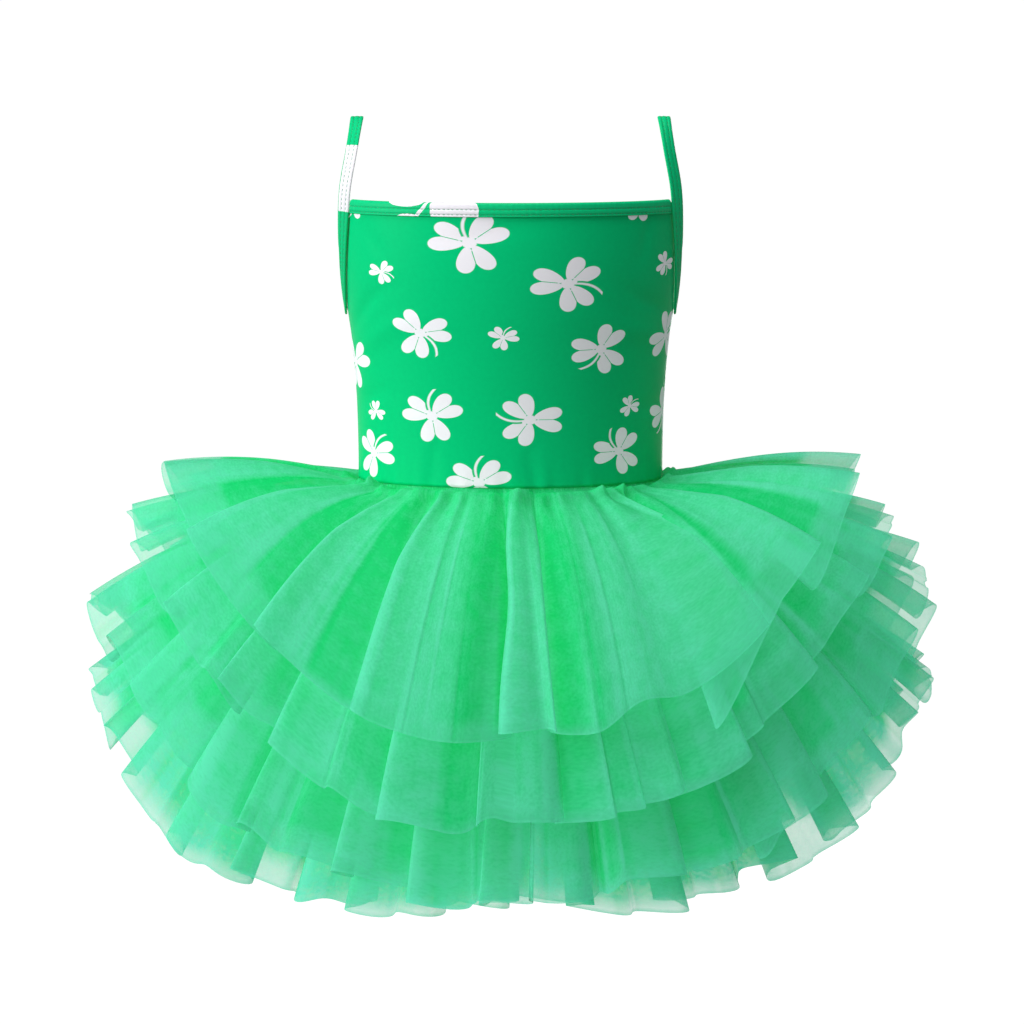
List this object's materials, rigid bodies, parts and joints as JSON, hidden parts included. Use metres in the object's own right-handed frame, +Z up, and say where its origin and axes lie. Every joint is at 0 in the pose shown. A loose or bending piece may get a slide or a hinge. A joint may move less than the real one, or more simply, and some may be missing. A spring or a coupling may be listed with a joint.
{
  "type": "ballet tutu dress",
  "caption": "Child's camisole leotard bodice in leaf-print stretch knit with thin straps and a full skirt of gathered, layered tulle, in the hollow form that it has when worn.",
  "frame": {"origin": "midway between the crests of the two shoulders, which hold the dress up just under its straps", "axes": "+X to the viewer's right (the wearer's left), +Y to the back, +Z up; the front faces -Y"},
  "size_m": [0.5043, 0.3721, 0.4527],
  "materials": {
    "knit": "smooth stretch knit, printed with white three-leaf shamrocks",
    "trim": "folded stretch knit strips with twin rows of topstitching",
    "tulle": "soft matt tulle net, see-through where it is one layer"
  },
  "bodies": {
    "root": {"bodice_front": "knit", "bodice_back": "knit", "neck_binding_front": "trim", "neck_binding_back": "trim", "strap_left": "trim", "strap_right": "trim", "tulle_layer_1": "tulle", "tulle_layer_2": "tulle", "tulle_layer_3": "tulle", "tulle_layer_4": "tulle"}
  },
  "joints": []
}
